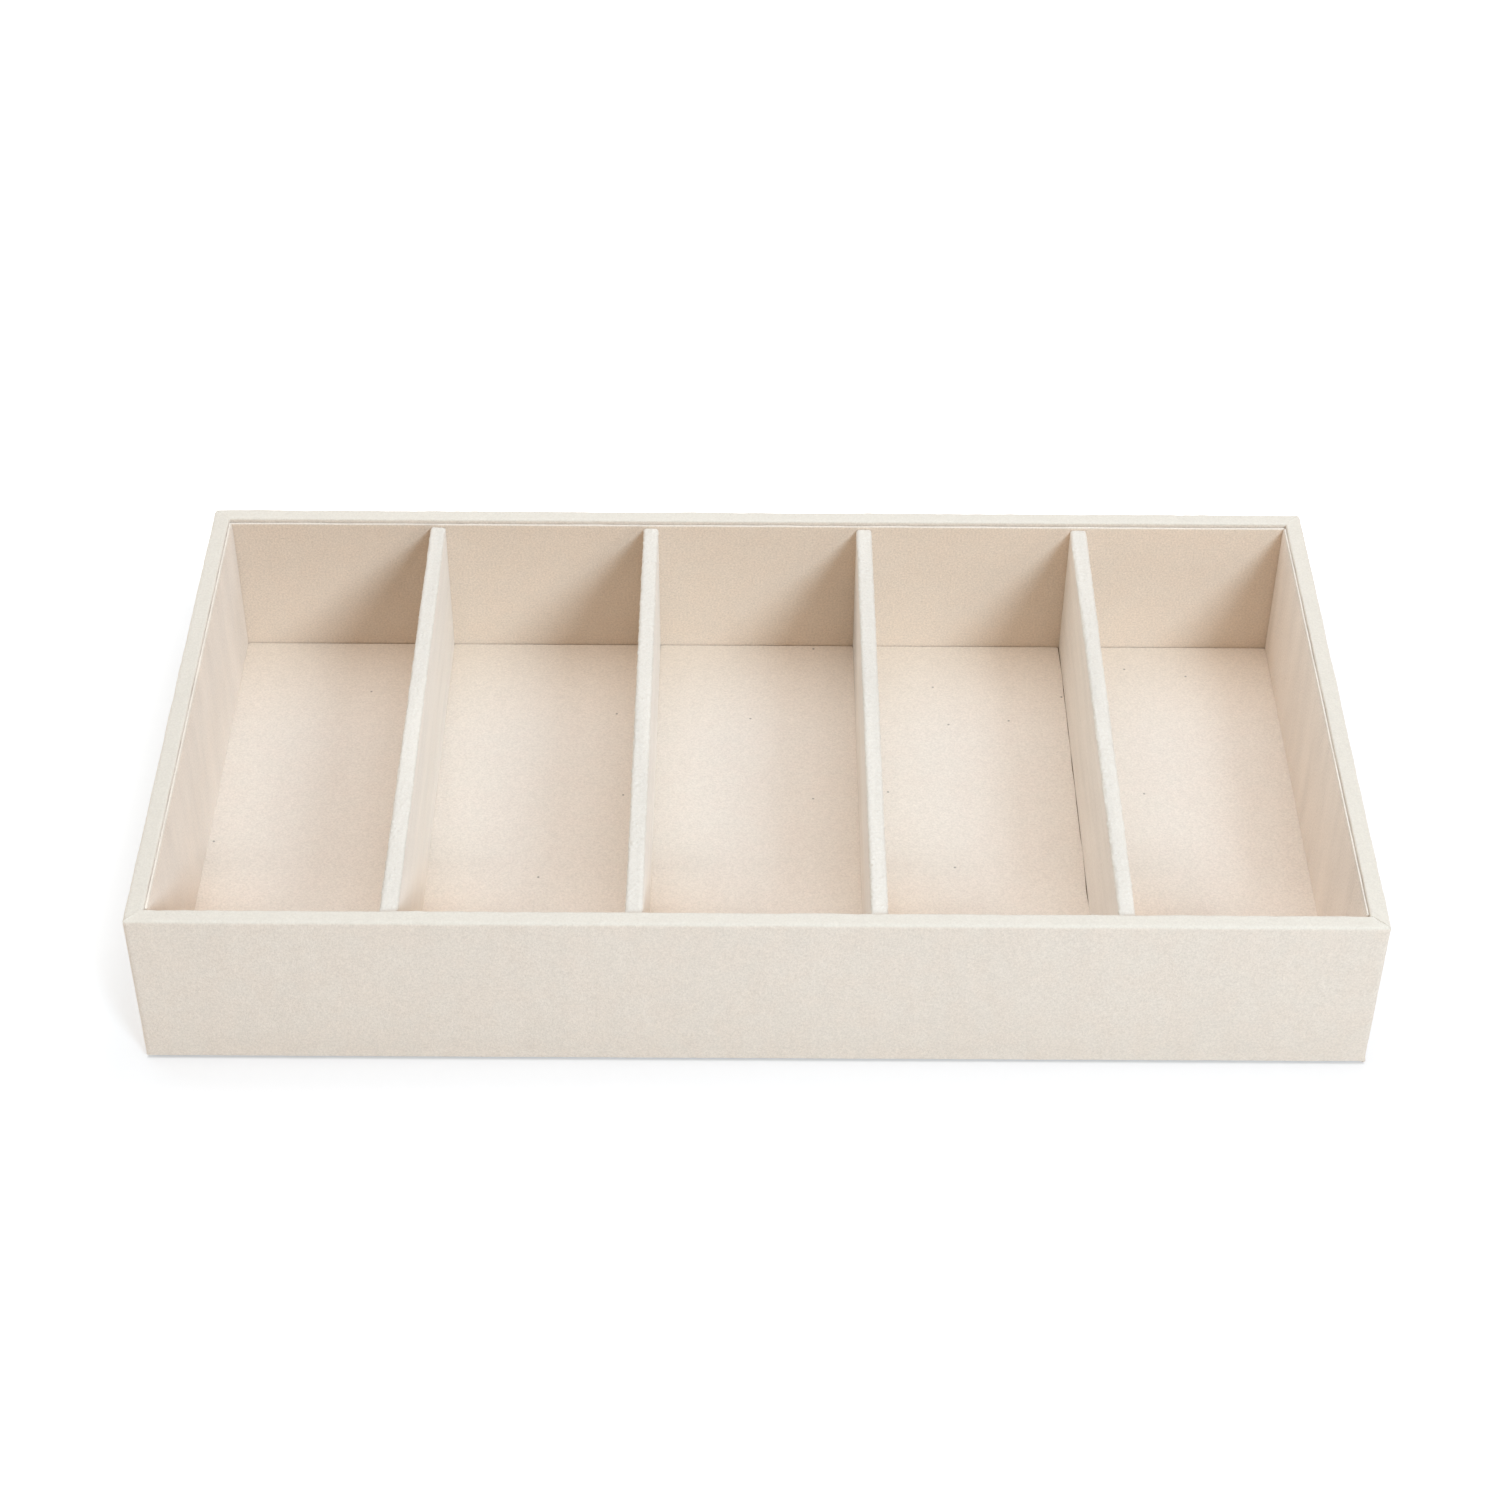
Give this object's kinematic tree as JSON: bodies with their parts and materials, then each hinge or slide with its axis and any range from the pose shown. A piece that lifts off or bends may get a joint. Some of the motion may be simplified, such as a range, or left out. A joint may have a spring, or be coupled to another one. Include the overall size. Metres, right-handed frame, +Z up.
{
  "type": "glasses tray",
  "caption": "Open rectangular tray covered in cream faux suede, with upright dividers that make long side-by-side compartments for folded glasses.",
  "frame": {"origin": "on the surface the tray stands on, below the middle of the tray", "axes": "+X along the long side, to the right seen from the front; +Y towards the back; +Z up"},
  "size_m": [0.406, 0.22, 0.0635],
  "materials": {
    "board": "plain fibreboard, sawn and sanded",
    "outer_suede": "cream faux suede with a short brushed nap",
    "lining_suede": "cream faux suede bonded to thin card",
    "divider_suede": "cream faux suede folded over the divider",
    "underside_cloth": "plain cream non-woven cloth"
  },
  "bodies": {
    "root": {"base_board": "board", "front_wall_board": "board", "right_wall_board": "board", "back_wall_board": "board", "left_wall_board": "board", "outer_wrap": "outer_suede", "underside_lining": "underside_cloth", "front_lining": "lining_suede", "right_lining": "lining_suede", "back_lining": "lining_suede", "left_lining": "lining_suede", "floor_pad_1": "lining_suede", "floor_pad_2": "lining_suede", "floor_pad_3": "lining_suede", "floor_pad_4": "lining_suede", "floor_pad_5": "lining_suede", "divider_core_1": "board", "divider_core_2": "board", "divider_core_3": "board", "divider_core_4": "board", "divider_wrap_1": "divider_suede", "divider_wrap_2": "divider_suede", "divider_wrap_3": "divider_suede", "divider_wrap_4": "divider_suede"}
  },
  "joints": []
}
